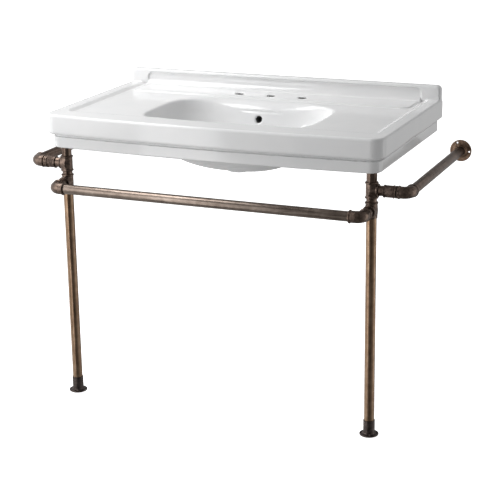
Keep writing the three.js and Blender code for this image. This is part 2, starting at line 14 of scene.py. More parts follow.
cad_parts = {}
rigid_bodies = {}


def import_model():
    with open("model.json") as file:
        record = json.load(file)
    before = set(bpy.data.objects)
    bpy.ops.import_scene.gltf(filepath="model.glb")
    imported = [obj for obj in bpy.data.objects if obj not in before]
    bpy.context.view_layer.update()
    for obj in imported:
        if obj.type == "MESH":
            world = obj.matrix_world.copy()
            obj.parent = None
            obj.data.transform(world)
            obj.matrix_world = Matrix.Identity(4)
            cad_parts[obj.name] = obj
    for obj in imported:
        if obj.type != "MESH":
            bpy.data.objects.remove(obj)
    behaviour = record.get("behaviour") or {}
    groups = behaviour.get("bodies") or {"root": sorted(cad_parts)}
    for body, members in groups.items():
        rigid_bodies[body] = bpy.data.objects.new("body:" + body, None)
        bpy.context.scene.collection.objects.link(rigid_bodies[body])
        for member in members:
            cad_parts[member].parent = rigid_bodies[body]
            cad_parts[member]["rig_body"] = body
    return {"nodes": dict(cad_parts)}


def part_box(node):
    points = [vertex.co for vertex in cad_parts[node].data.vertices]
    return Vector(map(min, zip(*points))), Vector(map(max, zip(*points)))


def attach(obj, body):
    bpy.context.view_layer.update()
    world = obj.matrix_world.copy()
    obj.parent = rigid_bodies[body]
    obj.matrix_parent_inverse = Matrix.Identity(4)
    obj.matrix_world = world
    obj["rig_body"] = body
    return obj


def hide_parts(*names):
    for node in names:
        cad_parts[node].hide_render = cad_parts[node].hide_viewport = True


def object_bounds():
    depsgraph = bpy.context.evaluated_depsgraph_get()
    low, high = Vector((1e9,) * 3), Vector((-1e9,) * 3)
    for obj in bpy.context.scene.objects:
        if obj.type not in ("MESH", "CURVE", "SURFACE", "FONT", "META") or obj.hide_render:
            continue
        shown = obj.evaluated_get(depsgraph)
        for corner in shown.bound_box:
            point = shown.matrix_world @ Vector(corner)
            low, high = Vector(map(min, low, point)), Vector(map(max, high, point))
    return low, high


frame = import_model()
cad_low, cad_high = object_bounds()

MM = 0.001
FLOOR = cad_low.z / MM


def node_box(name):
    """Lowest and highest corner of a CAD node, in millimetres, with heights from the floor."""
    low, high = (np.array(corner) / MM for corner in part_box(name))
    low[2] -= FLOOR
    high[2] -= FLOOR
    return low, high


def node_centre(name):
    """The middle of a CAD node's box."""
    low, high = node_box(name)
    return (low + high) / 2


# ---------- Driving dimensions ----------
BASIN_LOW, BASIN_HIGH = node_box("console_basin")
HALF_WIDTH = BASIN_HIGH[0]
BOW = 20  # how far the front bows out at the centre
CORNER_FRONT = BASIN_LOW[1] + BOW  # the front face beside the corners
CORNER_RADIUS = 38
SPLASH_TOP = BASIN_HIGH[2]
RIM_TOP = SPLASH_TOP - 42
DECK_TOP = RIM_TOP - 8
DECK_UNDERSIDE = DECK_TOP - 18
BAND_BOTTOM = RIM_TOP - 58
APRON_BOTTOM = RIM_TOP - 98
APRON_SETBACK = 14
UNDERCUT = 8  # how deep the shadow line between band and apron cuts into the apron
UNDERCUT_HEIGHT = 8
SKIRT = 12  # the thickness of the apron's wall
BACK_WALL = 16
SIDE_RIM = 38
FRONT_RIM = 66
RIM_SLOPE = 12  # how wide the slope from the rim down to the deck is
HOLLOW_CORNER = 16

SPLASH_THICKNESS = 22
SPLASH_SIDE = 2  # how far the splashback stands in from the basin's sides
SPLASH_CORNER = 14
PANEL_HALF_WIDTH = 447  # the sunk panel in the splashback's face
PANEL_TOP = SPLASH_TOP - 10
PANEL_FOOT = DECK_TOP
PANEL_DEPTH = 8
PANEL_CORNER = 15
COVE_REACH = 34  # wall to the foot of the cove
COVE_POWER = 2.6  # how suddenly the panel sweeps out to the cove's foot
LEDGE_HALF_WIDTH = 444
LEDGE_FRONT = -138
LEDGE_CORNER = 30
LEDGE_RISE = 3.5
TAP_SPACING = 203.2 / 2
TAP_HOLE_RADIUS = 13
TAP_FROM_WALL = 95

BOWL_HALF_WIDTH = 262
BOWL_HALF_DEPTH = 178
BOWL_FROM_WALL = 342
BOWL_FLOOR = 698
BOWL_WALL = 12
BOWL_DISH = 0.45  # the share of the bowl's rise that is a shallow dish; the rest rises at its edge
EDGE_POWER = 6  # how late the bowl's edge turns up
ROUND_OVAL = 2.5  # the power of the bowl's oval at its bottom, and of the squarer one near its top
SQUARE_OVAL = 4
SQUARED_AT = 1 / 1.3  # the share of the height at which the oval is fully squared
BULGE_DEPTH = 14  # how far the middle of the bowl's back comes forward
BULGE_REACH = 150
CREASE_RISE = 22  # overflow to the crease above it
CREASE_DEPTH = 2.4
CREASE_HEIGHT = 3
CREASE_REACH = 62
CRISP_BROW = 6  # rounding of the bowl's edge, and what is added in the middle of its back
SOFT_BROW = 30
BROW_REACH = 165
BROW_START = -260  # the edge softens from here towards the wall
BROW_RUN = 80
BELLY_BOTTOM = 684
DRAIN_RADIUS = 23
DRAIN_SEAT_RADIUS = 32
DRAIN_BOSS_RADIUS = 38
DRAIN_BOTTOM = BASIN_LOW[2]
OVERFLOW_HEIGHT = 800
OVERFLOW_RADIUS = 10
OVERFLOW_LIP = 5
OVERFLOW_RUN = (-240, -165)  # the hole runs through the bowl's back wall, from front to back
RIDGE_HALF_WIDTH = 24  # the ridge behind the bowl that holds the overflow's passage
RIDGE_DEPTH = 14

PIPE_ROUND = 72  # facets round a pipe
PIPE_WALL = 2.5
FITTING = 16.4  # radius of a fitting's body
BEAD = 18.4  # radius of the bead round a fitting's mouth
BEAD_INSIDE = 12
BEAD_WIDTH = 4.5
SOCKET_DEPTH = 8
GAP = 0.3
LEG_PIPE = 14.5
SLIM_PIPE = 14
TEE_RUN = 22.5
TEE_FILLET = 7
BAR_BRANCH = 27
ARM_BRANCH = 20.5
ELBOW_LEG = 30
BAR_ELBOW_LEG = 35
ELBOW_BEND = 20
NUT_RADIUS = 16.6
NUT_SHOULDER = 2.4  # width of the plain ring at the nut's inner end
NUT_RIDGES = 18
KNURL_DEPTH = 1
KNURL_TWIST = 1.3  # how much the two crossing sets of ridges shift, in radians for each millimetre
KNURL_ROWS = 42
TAIL_BORE = 11
TAIL_END = 11  # the tail's collar ends this far past the nut
TAIL_COLLAR = (  # distance past the nut, and height over the collar's body
    (0.3, -2),
    (1.0, 0),
    (3.2, 0),
    (4.0, -2.4),
    (7.0, -2.4),
    (7.8, -0.6),
    (10.4, -0.6),
    (TAIL_END, -2),
)
CAP_WALL = 4
PAD_BULGE = 0.6
PINHOLE = 0.01  # what is left open round the axis of a turned solid

FLANGE_RADIUS = 32.5
FLANGE_PLATE = 4
HUB_RADIUS = 17.2
HUB_HEIGHT = 15
FLANGE_SCREW_CIRCLE = 25.5
FLANGE_SCREWS = (115, 235, -5)  # degrees round the right flange; the left one is its mirror
FOOT_RADIUS = 27
FOOT_PLATE = 5
FOOT_COLLAR_RADIUS = 16.4
FOOT_HEIGHT = 45
FOOT_SCREW_CIRCLE = 21.8
FOOT_SCREWS = (15, 105, 195, 285)
SCREW_HOLE_RADIUS = 2.6
COUNTERSINK = 2.2
SLANT = 0.8  # brings a height measured across a slanting face down to about its distance

CASTING_STEP = 1.15  # distance between grid lines
FLANGE_STEP = 1.1
FINE_STEP = 2.6
COARSE_STEP = 6
BASIN_GRID = (  # runs of (start, end, step) along each axis, closer where the edges are
    ((-512, -440, FINE_STEP), (-440, 440, COARSE_STEP), (440, 512, FINE_STEP)),
    ((-604, -500, FINE_STEP), (-500, -170, COARSE_STEP), (-170, 3, FINE_STEP)),
    ((676, 756, 4), (756, 788, 3.4), (788, 806, 1.6), (806, 904, 2.8)),
)
SKIN = 0.3  # how near a hole's wall a face of the basin has to lie to get the painted shade
HOLE_SHADE_RUN = (-230, -160)  # where the overflow's wall is painted dark as shade, from front to back
SHARP_ANGLE = 50  # degrees between two faces of a turned piece from which their edge looks sharp


# ---------- Meshes ----------
LEAST_STEEPNESS = 0.25  # keeps the steps short where the field is nearly level
LONGEST_SHIFT = 0.5


def new_piece(name, points, faces, material, normals=None):
    """A smooth mesh from points in millimetres with heights from the floor."""
    placed = np.array(points, float)
    placed[:, 2] += FLOOR
    mesh = bpy.data.meshes.new(name)
    mesh.from_pydata((placed * MM).tolist(), [], faces)
    mesh.validate()
    mesh.shade_smooth()
    if normals is not None:
        mesh.normals_split_custom_set_from_vertices(normals.tolist())
    mesh.materials.append(material)
    piece = bpy.data.objects.new(name, mesh)
    bpy.context.scene.collection.objects.link(piece)
    return piece


def stand_for(piece, node):
    """The piece takes the CAD node's place, on its body."""
    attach(piece, frame["nodes"][node]["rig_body"])
    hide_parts(node)


def edge_crossings(values, inside, axis):
    """Where the surface crosses the grid's edges along an axis, as a share of each edge, and which do."""
    first = np.moveaxis(values, axis, 0)[:-1]
    second = np.moveaxis(values, axis, 0)[1:]
    crossed = np.moveaxis(inside, axis, 0)[:-1] != np.moveaxis(inside, axis, 0)[1:]
    share = np.where(crossed, first / np.where(crossed, first - second, 1), 0)
    return np.moveaxis(share, 0, axis), np.moveaxis(crossed, 0, axis)


def cell_points(values, inside, active, axes):
    """One point in each crossed cell: the mean of the crossings on the cell's edges."""
    cells = np.argwhere(active)
    total = np.zeros((len(cells), 3))
    count = np.zeros(len(cells))
    for axis in range(3):
        share, crossed = edge_crossings(values, inside, axis)
        others = [a for a in range(3) if a != axis]
        for corner in ((0, 0), (0, 1), (1, 0), (1, 1)):
            at = cells.copy()
            at[:, others[0]] += corner[0]
            at[:, others[1]] += corner[1]
            key = tuple(at.T)
            hit = crossed[key]
            for a in range(3):
                place = axes[a][at[:, a]]
                if a == axis:
                    place = place + share[key] * (axes[a][at[:, a] + 1] - place)
                total[:, a] += np.where(hit, place, 0)
            count += hit
    return total / count[:, None]


def cell_faces(inside, index):
    """A quad round every grid edge that the surface crosses."""
    faces = []
    for axis in range(3):
        turned = np.moveaxis(inside, axis, 0) if axis != 1 else np.transpose(inside, (1, 2, 0))
        numbers = np.moveaxis(index, axis, 0) if axis != 1 else np.transpose(index, (1, 2, 0))
        first = turned[:-1, 1:-1, 1:-1]
        second = turned[1:, 1:-1, 1:-1]
        ring = [numbers[:, :-1, :-1], numbers[:, 1:, :-1], numbers[:, 1:, 1:], numbers[:, :-1, 1:]]
        for crossed, order in ((first & ~second, (0, 1, 2, 3)), (~first & second, (3, 2, 1, 0))):
            faces.append(np.stack([ring[i][crossed] for i in order], axis=1))
    return np.concatenate(faces)


def slope_of(field, points, step=0.15):
    """The field's gradient at some points."""
    columns = []
    for axis in range(3):
        ahead = points.copy()
        behind = points.copy()
        ahead[:, axis] += step
        behind[:, axis] -= step
        columns.append((field(*ahead.T) - field(*behind.T)) / (2 * step))
    return np.stack(columns, axis=1)


def field_surface(field, axes):
    """Points, quads and normals of the surface where a field is zero. The field is negative inside."""
    grid = np.meshgrid(*axes, indexing="ij")
    values = field(*grid)
    inside = values < 0
    corners = [
        inside[i : i - 1 or None, j : j - 1 or None, k : k - 1 or None]
        for i in (0, 1)
        for j in (0, 1)
        for k in (0, 1)
    ]
    full = sum(corner.astype(int) for corner in corners)
    active = (full > 0) & (full < len(corners))
    index = np.full(active.shape, -1)
    index[active] = np.arange(active.sum())
    points = cell_points(values, inside, active, axes)
    for _ in range(2):  # two short steps down the slope bring the points onto the surface
        slope = slope_of(field, points)
        steepness = np.maximum((slope**2).sum(axis=1), LEAST_STEEPNESS)
        shift = (field(*points.T) / steepness)[:, None] * slope
        points -= np.clip(shift, -LONGEST_SHIFT, LONGEST_SHIFT)
    slope = slope_of(field, points)
    normals = slope / np.maximum(np.linalg.norm(slope, axis=1), 1e-6)[:, None]
    return points, cell_faces(inside, index), normals


def stretch(*runs):
    """Grid lines for runs of (start, end, step)."""
    lines = [np.arange(start, end, step) for start, end, step in runs]
    return np.concatenate([*lines, [runs[-1][1]]])


# ---------- Fields: signed distances, negative inside ----------
def smooth_min(a, b, blend):
    """Either of two solids, with a fillet where they meet."""
    share = np.clip(0.5 + 0.5 * (b - a) / blend, 0, 1)
    return b + (a - b) * share - blend * share * (1 - share)


def smooth_max(a, b, blend):
    """What two solids share, with the edge between them rounded."""
    return -smooth_min(-a, -b, blend)


def corner_distance(across, along):
    """The distance to the corner of two faces at right angles."""
    return np.hypot(np.maximum(across, 0), np.maximum(along, 0)) + np.minimum(np.maximum(across, along), 0)


def rounded(across, along, edge):
    """The distance to the corner of two faces, rounded by edge."""
    return corner_distance(across + edge, along + edge) - edge


def between(value, low, high):
    """A slab from low to high."""
    return np.abs(value - (low + high) / 2) - (high - low) / 2


def plan(x, y, inset, back=0.0):
    """The basin's outline seen from above, set in at the front and sides, and kept off the wall by back."""
    half = HALF_WIDTH - inset
    front = CORNER_FRONT + inset - BOW * (1 - np.clip(x / HALF_WIDTH, -1, 1) ** 2)
    outline = rounded(np.abs(x) - half, front - y, CORNER_RADIUS - inset / 2)
    return np.maximum(outline, y + back)


def bowl_share(x, y, z, half_width, half_depth):
    """Which of the nested ovals, squarer towards the top, a point lies on: 0 at the drain, 1 at the edge."""
    height = (z - BELLY_BOTTOM) / (DECK_TOP - BELLY_BOTTOM)
    power = ROUND_OVAL + (SQUARE_OVAL - ROUND_OVAL) * np.clip(height / SQUARED_AT, 0, 1)
    across = np.abs(x / half_width) ** power
    along = np.abs((y + BOWL_FROM_WALL) / half_depth) ** power
    return (across + along + 1e-12) ** (1 / power)


def bowl_field(x, y, z, half_width, half_depth, bottom, top):
    """The space above a bowl's surface, a shallow dish whose edge turns up steeply."""
    share = bowl_share(x, y, z, half_width, half_depth)
    rise = top - bottom
    edge = 1 - BOWL_DISH
    surface = bottom + rise * (BOWL_DISH * share**2 + edge * share**EDGE_POWER)
    reach = np.hypot(x, y + BOWL_FROM_WALL) + 1e-6
    grade = rise * (2 * BOWL_DISH * share + EDGE_POWER * edge * share ** (EDGE_POWER - 1)) * share / reach
    return (surface - z) / np.sqrt(1 + grade**2)


def basin_shell(x, y, z):
    """The deep band, the apron under it and the deck, open underneath."""
    band = rounded(plan(x, y, 0), between(z, BAND_BOTTOM, RIM_TOP), 8)
    apron = rounded(plan(x, y, APRON_SETBACK), between(z, APRON_BOTTOM, RIM_TOP - 10), 5)
    recess = between(z, BAND_BOTTOM - UNDERCUT_HEIGHT, BAND_BOTTOM)
    undercut = np.maximum(-plan(x, y, APRON_SETBACK + UNDERCUT), recess)
    shell = smooth_min(band, smooth_max(apron, -undercut, 2), 1.5)
    cavity = rounded(plan(x, y, APRON_SETBACK + SKIRT, BACK_WALL), z - DECK_UNDERSIDE, 4)
    return smooth_max(shell, -cavity, 3)


def deck_hollow(x, y, z):
    """The shallow hollow of the deck, inside the raised rim, with sloping sides."""
    half = HALF_WIDTH - SIDE_RIM - RIM_SLOPE
    front = CORNER_FRONT + FRONT_RIM + RIM_SLOPE
    grade = RIM_SLOPE / (RIM_TOP - DECK_TOP)
    outline = rounded(np.abs(x) - half, front - y, HOLLOW_CORNER)
    side = (outline - grade * (z - DECK_TOP)) / math.hypot(1, grade)
    return smooth_max(side, DECK_TOP - z, 3)


def splashback(x, y, z):
    """The upright along the wall: a rolled top and ends round a sunk panel that sweeps out at its foot."""
    face = rounded(np.abs(x) - HALF_WIDTH + SPLASH_SIDE, z - SPLASH_TOP, SPLASH_CORNER)
    slab = rounded(face, -y - SPLASH_THICKNESS, 7)
    slab = np.maximum(slab, DECK_UNDERSIDE - z)
    panel = rounded(np.abs(x) - PANEL_HALF_WIDTH, between(z, PANEL_FOOT - 30, PANEL_TOP), PANEL_CORNER)
    panel_back = SPLASH_THICKNESS - PANEL_DEPTH
    slab = smooth_max(slab, -np.maximum(panel, y + panel_back), 4)
    drop = np.clip((PANEL_TOP - z) / (PANEL_TOP - PANEL_FOOT), 0, 1.2)
    sweep = panel_back + (COVE_REACH - panel_back) * drop**COVE_POWER
    cove = np.maximum((-y - sweep) * SLANT, np.maximum(z - PANEL_TOP, DECK_UNDERSIDE - z))
    cove = np.maximum(cove, rounded(np.abs(x) - PANEL_HALF_WIDTH, z - PANEL_TOP, PANEL_CORNER))
    return smooth_min(slab, cove, 2)


def tap_ledge(x, y, z):
    """The low ledge in front of the splashback, where the tap holes are."""
    outline = rounded(np.abs(x) - LEDGE_HALF_WIDTH, LEDGE_FRONT - y, LEDGE_CORNER)
    return smooth_max(outline, z - DECK_TOP - LEDGE_RISE, 5)


def bowl_inside(x, y, z):
    """The bowl's hollow, its back pushed forward in the middle and creased above the overflow."""
    backwards = np.clip((y + BOWL_FROM_WALL) / BOWL_HALF_DEPTH, 0, 1)
    bulge = BULGE_DEPTH * np.exp(-((x / BULGE_REACH) ** 2)) * backwards
    hollow = bowl_field(x, y + bulge, z, BOWL_HALF_WIDTH, BOWL_HALF_DEPTH, BOWL_FLOOR, RIM_TOP + 4)
    above = (z - OVERFLOW_HEIGHT - CREASE_RISE) / CREASE_HEIGHT
    crease = CREASE_DEPTH * np.exp(-(above**2)) * np.exp(-((x / CREASE_REACH) ** 6))
    return hollow - np.where(y > -BOWL_FROM_WALL, crease, 0)


def belly(x, y, z):
    """The bowl's outside under the deck, with the ridge that holds the overflow's passage."""
    half_width = BOWL_HALF_WIDTH + BOWL_WALL
    half_depth = BOWL_HALF_DEPTH + BOWL_WALL
    hull = bowl_field(x, y, z, half_width, half_depth, BELLY_BOTTOM, DECK_TOP)
    ridge = np.maximum(np.abs(x) - RIDGE_HALF_WIDTH, -BOWL_FROM_WALL - y)
    ridge = smooth_max(hull - RIDGE_DEPTH, ridge, 10)
    hull = smooth_min(hull, ridge, 10)
    return np.maximum(hull, z - DECK_TOP + 6)


def top_surface(x, y, z):
    """Everything under the rim, the deck, the tap ledge and the splashback, with the bowl sunk in it."""
    surface = smooth_max(z - RIM_TOP, -deck_hollow(x, y, z), 3)
    surface = smooth_min(surface, tap_ledge(x, y, z), 5)
    surface = smooth_min(surface, splashback(x, y, z), 5)
    behind = np.clip((y - BROW_START) / BROW_RUN, 0, 1) * np.exp(-((x / BROW_REACH) ** 4))
    return smooth_max(surface, -bowl_inside(x, y, z), CRISP_BROW + SOFT_BROW * behind)


def drain_rod(x, y, radius):
    """An upright round rod on the drain's axis."""
    return np.hypot(x, y + BOWL_FROM_WALL) - radius


def tap_holes(x, y):
    """Three upright round holes behind the bowl."""
    rods = [np.hypot(x - place * TAP_SPACING, y + TAP_FROM_WALL) for place in (-1, 0, 1)]
    return np.minimum.reduce(rods) - TAP_HOLE_RADIUS


def overflow_hole(x, z):
    """A round hole from front to back in the bowl's wall."""
    return np.hypot(x, z - OVERFLOW_HEIGHT) - OVERFLOW_RADIUS


def basin(x, y, z):
    """The whole casting, with its holes."""
    body = smooth_min(basin_shell(x, y, z), belly(x, y, z), 10)
    boss = np.maximum(drain_rod(x, y, DRAIN_BOSS_RADIUS), between(z, DRAIN_BOTTOM, BOWL_FLOOR + 4))
    body = smooth_min(body, boss, 4)
    body = smooth_min(body, splashback(x, y, z), 2)
    body = smooth_max(body, top_surface(x, y, z), 0.5)
    body = smooth_max(body, -tap_holes(x, y), 3)
    overflow = np.maximum(overflow_hole(x, z), between(y, *OVERFLOW_RUN))
    body = smooth_max(body, -overflow, OVERFLOW_LIP)
    seat = np.maximum(drain_rod(x, y, DRAIN_SEAT_RADIUS), BOWL_FLOOR + 1 - z)
    body = smooth_max(body, -seat, 1.5)
    body = smooth_max(body, -drain_rod(x, y, DRAIN_RADIUS), 1.5)
    return smooth_max(body, y, 2)


def in_a_hole(x, y, z):
    """Whether a point of the basin lies on the wall of a tap hole or of the overflow, where shade is painted
    dark.
    """
    in_overflow = (overflow_hole(x, z) < SKIN) & (between(y, *HOLE_SHADE_RUN) < 0)
    return in_overflow | ((tap_holes(x, y) < SKIN) & (z > DECK_UNDERSIDE + 1))


def local(centre, axis, x, y, z):
    """Coordinates with their origin at centre and their third direction along an axis of the frame."""
    a, b, c = x - centre[0], y - centre[1], z - centre[2]
    return {
        "+X": (b, c, a),
        "-X": (-b, c, -a),
        "+Y": (c, a, b),
        "-Y": (c, -a, -b),
        "+Z": (a, b, c),
        "-Z": (a, -b, -c),
    }[axis]


def mouth(centre, axis, length, pipe_radius, x, y, z):
    """The bead round a fitting's mouth, and the socket in it."""
    across, up, along = local(centre, axis, x, y, z)
    radius = np.hypot(across, up)
    bead = rounded(between(radius, BEAD_INSIDE, BEAD), between(along, length - BEAD_WIDTH, length), 1.7)
    socket = np.maximum(radius - pipe_radius - GAP, length - SOCKET_DEPTH - along)
    return bead, socket


def limb(centre, axis, length, x, y, z):
    """A straight round limb from a fitting's centre to just inside its mouth."""
    across, up, along = local(centre, axis, x, y, z)
    return np.maximum(np.hypot(across, up) - FITTING, np.maximum(along - length + 0.5, -along))


def with_mouths(body, centre, mouths, x, y, z, plain=()):
    """A fitting's body with its mouths, each an (axis, length, pipe radius). Plain mouths lack a bead."""
    for axis, length, pipe_radius in mouths:
        bead, socket = mouth(centre, axis, length, pipe_radius, x, y, z)
        if axis not in plain:
            body = smooth_min(body, bead, 1.2)
        body = smooth_max(body, -socket, 0.6)
    return body


def tee_field(centre, mouths, plain=()):
    """A cast tee, whose branch flows into its run. The first two mouths end the run."""

    def field(x, y, z):
        limbs = [limb(centre, axis, length, x, y, z) for axis, length, _ in mouths]
        body = smooth_min(np.minimum(limbs[0], limbs[1]), limbs[2], TEE_FILLET)
        return with_mouths(body, centre, mouths, x, y, z, plain)

    return field


def elbow_field(centre, mouths, bend):
    """A cast elbow: two straight limbs and a quarter bend between them."""

    def field(x, y, z):
        first_axis, first_length, _ = mouths[0]
        second_axis, second_length, _ = mouths[1]
        first = local(centre, first_axis, x, y, z)[2]
        second = local(centre, second_axis, x, y, z)[2]
        level = z - centre[2]
        arc = np.abs(np.hypot(np.maximum(bend - first, 0), np.maximum(bend - second, 0)) - bend)
        beyond = np.where(first > second, second, first)
        inplane = np.where((first > bend) | (second > bend), np.abs(beyond), arc)
        body = np.hypot(inplane, level) - FITTING
        body = np.maximum(body, np.maximum(first - first_length, second - second_length) + 0.5)
        return with_mouths(body, centre, mouths, x, y, z)

    return field


def screw_holes(radius, along, angle, angles, circle, face):
    """Countersunk holes on a circle, through a plate whose face is at a height along the axis."""
    across, up = radius * np.cos(angle), radius * np.sin(angle)
    holes = []
    for degrees in angles:
        turn = math.radians(degrees)
        aside = np.hypot(across - circle * math.cos(turn), up - circle * math.sin(turn))
        widening = np.clip(along - face + COUNTERSINK, 0, COUNTERSINK)
        holes.append((aside - SCREW_HOLE_RADIUS - widening) * SLANT)
    return np.minimum.reduce(holes)


def wall_flange_field(centre, angles):
    """A round plate on the wall, with a hub round the arm's end."""

    def field(x, y, z):
        level, across, along = local(centre, "-Y", x, y, z)
        radius = np.hypot(level, across)
        angle = np.arctan2(level, -across)
        plate = rounded(radius - FLANGE_RADIUS, between(along, 0, FLANGE_PLATE), 1.6)
        hub = rounded(radius - HUB_RADIUS, between(along, 0, HUB_HEIGHT), 1.6)
        body = np.maximum(smooth_min(plate, hub, 7), -along)
        body = smooth_max(body, -(radius - SLIM_PIPE - GAP), 0.6)
        holes = screw_holes(radius, along, angle, angles, FLANGE_SCREW_CIRCLE, FLANGE_PLATE + 0.4)
        return smooth_max(body, -holes, 0.6)

    return field


def floor_flange_field(centre):
    """A round plate on the floor, with a collar that slides on the leg."""

    def field(x, y, z):
        radius = np.hypot(x - centre[0], y - centre[1])
        angle = np.arctan2(y - centre[1], x - centre[0])
        plate = rounded(radius - FOOT_RADIUS, between(z, 0, FOOT_PLATE), 2)
        collar = rounded(radius - FOOT_COLLAR_RADIUS, between(z, 0, FOOT_HEIGHT), 1.1)
        body = np.maximum(smooth_min(plate, collar, 4), -z)
        bore = np.maximum(radius - LEG_PIPE - GAP, FOOT_PLATE - z)
        body = smooth_max(body, -bore, 0.6)
        holes = screw_holes(radius, z, angle, FOOT_SCREWS, FOOT_SCREW_CIRCLE, FOOT_PLATE)
        return smooth_max(body, -holes, 0.6)

    return field


# ---------- Materials ----------
NOISE_LOW = 0.3  # nearly all of a noise lies between these two
NOISE_HIGH = 0.7
BRONZE_STOPS = (0.32, 0.5, 0.66)  # where a bronze is dark, middling and light
ALONG = {"X": (0.06, 1, 1), "Y": (1, 0.06, 1), "Z": (1, 1, 0.06)}  # scaling that draws noise out
EVENLY = (1, 1, 1)

GLAZE_TONES = ((0.84, 0.845, 0.85), (0.88, 0.88, 0.88))  # dark and light
# painted shade: dark greys for the walls of the tap holes and the overflow, where little light reaches
HOLE_SHADE_TONES = ((0.1, 0.1, 0.1), (0.17, 0.168, 0.165))
RUBBER_TONES = ((0.02, 0.02, 0.02), (0.05, 0.05, 0.05))
LEG_TONES = ((0.17, 0.105, 0.067), (0.27, 0.178, 0.115), (0.38, 0.265, 0.18))  # dark, middle and light
BAR_TONES = ((0.13, 0.1, 0.083), (0.22, 0.176, 0.148), (0.33, 0.27, 0.23))
ARM_TONES = ((0.085, 0.06, 0.046), (0.15, 0.108, 0.086), (0.24, 0.175, 0.14))
FITTING_TONES = ((0.075, 0.055, 0.045), (0.15, 0.11, 0.09), (0.26, 0.19, 0.15))
NUT_TONES = ((0.065, 0.047, 0.04), (0.155, 0.115, 0.095), (0.3, 0.22, 0.18))
FLANGE_TONES = ((0.17, 0.105, 0.072), (0.3, 0.2, 0.142), (0.42, 0.29, 0.21))
FOOT_TONES = ((0.045, 0.037, 0.034), (0.08, 0.065, 0.06), (0.13, 0.105, 0.095))

GLAZE_ROUGHNESS = (0.07, 0.14)
PIPE_ROUGHNESS = (0.24, 0.36)
FITTING_ROUGHNESS = (0.26, 0.42)
WORN_ROUGHNESS = (0.3, 0.5)
FOOT_ROUGHNESS = (0.32, 0.5)


def shader_material(name):
    """A new material with its nodes and links."""
    material = bpy.data.materials.new(name)
    material.use_nodes = True
    return material, material.node_tree.nodes, material.node_tree.links


def noise(nodes, links, scale, detail=4.0, stretch_by=EVENLY):
    """Noise in the frame's own coordinates, drawn out by scaling them."""
    place = nodes.new("ShaderNodeTexCoord")
    mapping = nodes.new("ShaderNodeMapping")
    mapping.inputs["Scale"].default_value = stretch_by
    texture = nodes.new("ShaderNodeTexNoise")
    texture.inputs["Scale"].default_value = scale
    texture.inputs["Detail"].default_value = detail
    links.new(place.outputs["Object"], mapping.inputs["Vector"])
    links.new(mapping.outputs["Vector"], texture.inputs["Vector"])
    return texture.outputs["Fac"]


def ramp(nodes, links, value, stops):
    """Colours at places along a value's run."""
    node = nodes.new("ShaderNodeValToRGB")
    links.new(value, node.inputs["Fac"])
    elements = node.color_ramp.elements
    while len(elements) < len(stops):
        elements.new(0.5)
    for element, (place, colour) in zip(elements, stops):
        element.position = place
        element.color = (*colour, 1)
    return node.outputs["Color"]


def span(nodes, links, value, low, high):
    """The middle run of a noise, spread out from low to high."""
    node = nodes.new("ShaderNodeMapRange")
    node.inputs["From Min"].default_value = NOISE_LOW
    node.inputs["From Max"].default_value = NOISE_HIGH
    node.inputs["To Min"].default_value = low
    node.inputs["To Max"].default_value = high
    links.new(value, node.inputs["Value"])
    return node.outputs["Result"]


def bump(nodes, links, height, strength, distance):
    """A surface normal roughened by a height, over a distance in metres."""
    node = nodes.new("ShaderNodeBump")
    node.inputs["Strength"].default_value = strength
    node.inputs["Distance"].default_value = distance
    links.new(height, node.inputs["Height"])
    return node.outputs["Normal"]


def two_tone(nodes, links, value, tones):
    """A noise that drifts from a dark tone to a light one."""
    dark, light = tones
    return ramp(nodes, links, value, [(NOISE_LOW, dark), (NOISE_HIGH, light)])


def glaze_material():
    """White glaze: glossy, with a faint drift of tone and the slight waviness of fired ware."""
    material, nodes, links = shader_material("glaze")
    shader = nodes["Principled BSDF"]
    tone = noise(nodes, links, 9, 3)
    links.new(two_tone(nodes, links, tone, GLAZE_TONES), shader.inputs["Base Color"])
    links.new(span(nodes, links, noise(nodes, links, 30), *GLAZE_ROUGHNESS), shader.inputs["Roughness"])
    wave = noise(nodes, links, 22, 2)
    links.new(bump(nodes, links, wave, 0.08, 0.002), shader.inputs["Normal"])
    shader.inputs["IOR"].default_value = 1.52
    return material


def bronze_material(name, tones, stretch_by, roughness):
    """Aged bronze: drawn streaks along the metal, mottling, and fine scratches in its roughness."""
    material, nodes, links = shader_material(name)
    shader = nodes["Principled BSDF"]
    shader.inputs["Metallic"].default_value = 1.0
    streak = noise(nodes, links, 160, 5, stretch_by)
    mottle = noise(nodes, links, 55, 6)
    mix = nodes.new("ShaderNodeMix")
    mix.inputs["Factor"].default_value = 0.45
    links.new(streak, mix.inputs["A"])
    links.new(mottle, mix.inputs["B"])
    colour = ramp(nodes, links, mix.outputs["Result"], list(zip(BRONZE_STOPS, tones)))
    links.new(colour, shader.inputs["Base Color"])
    links.new(span(nodes, links, streak, *roughness), shader.inputs["Roughness"])
    links.new(bump(nodes, links, mix.outputs["Result"], 0.15, 0.0006), shader.inputs["Normal"])
    return material


def grainy_material(name, tones, grain_scale, roughness, grain_height):
    """A dull material with a fine grain."""
    material, nodes, links = shader_material(name)
    shader = nodes["Principled BSDF"]
    grain = noise(nodes, links, grain_scale)
    links.new(two_tone(nodes, links, grain, tones), shader.inputs["Base Color"])
    shader.inputs["Roughness"].default_value = roughness
    links.new(bump(nodes, links, grain, grain_height, 0.0005), shader.inputs["Normal"])
    return material


def drawn_bronze(name, tones):
    """One bronze for each axis that a pipe may lie along, its streaks drawn out along the pipe."""
    return {
        axis: bronze_material(f"{name}_{axis}", tones, stretch_by, PIPE_ROUGHNESS)
        for axis, stretch_by in ALONG.items()
    }


